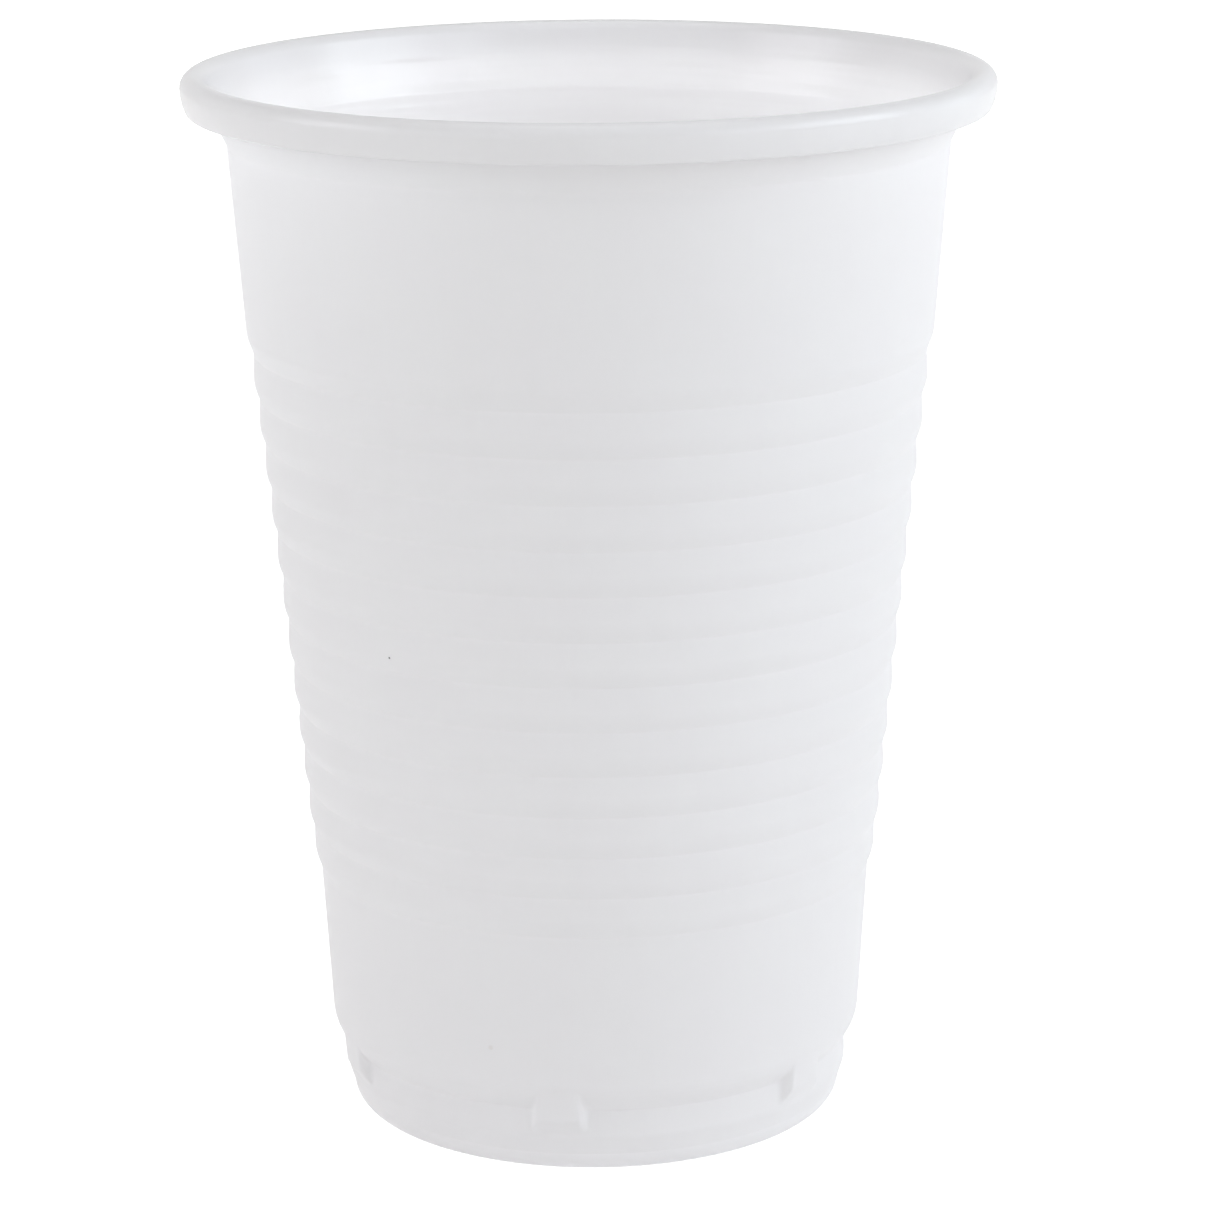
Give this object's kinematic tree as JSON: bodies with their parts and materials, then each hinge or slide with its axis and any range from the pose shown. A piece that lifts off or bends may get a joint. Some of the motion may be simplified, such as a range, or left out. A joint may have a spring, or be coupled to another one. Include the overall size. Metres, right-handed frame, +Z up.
{
  "type": "disposable drinking cup",
  "caption": "Ribbed disposable drinking cup of thin white plastic, with a rolled rim, stacking lugs over the foot and a raised base panel.",
  "frame": {"origin": "centre of the ring that the cup stands on, in the plane of the table", "axes": "+Z up along the cup's axis, out of its mouth; -Y towards the viewer of the picture, +X to the right"},
  "size_m": [0.0703, 0.0702, 0.093],
  "materials": {
    "shell": "satin"
  },
  "bodies": {
    "root": {"cup": "shell"}
  },
  "joints": []
}
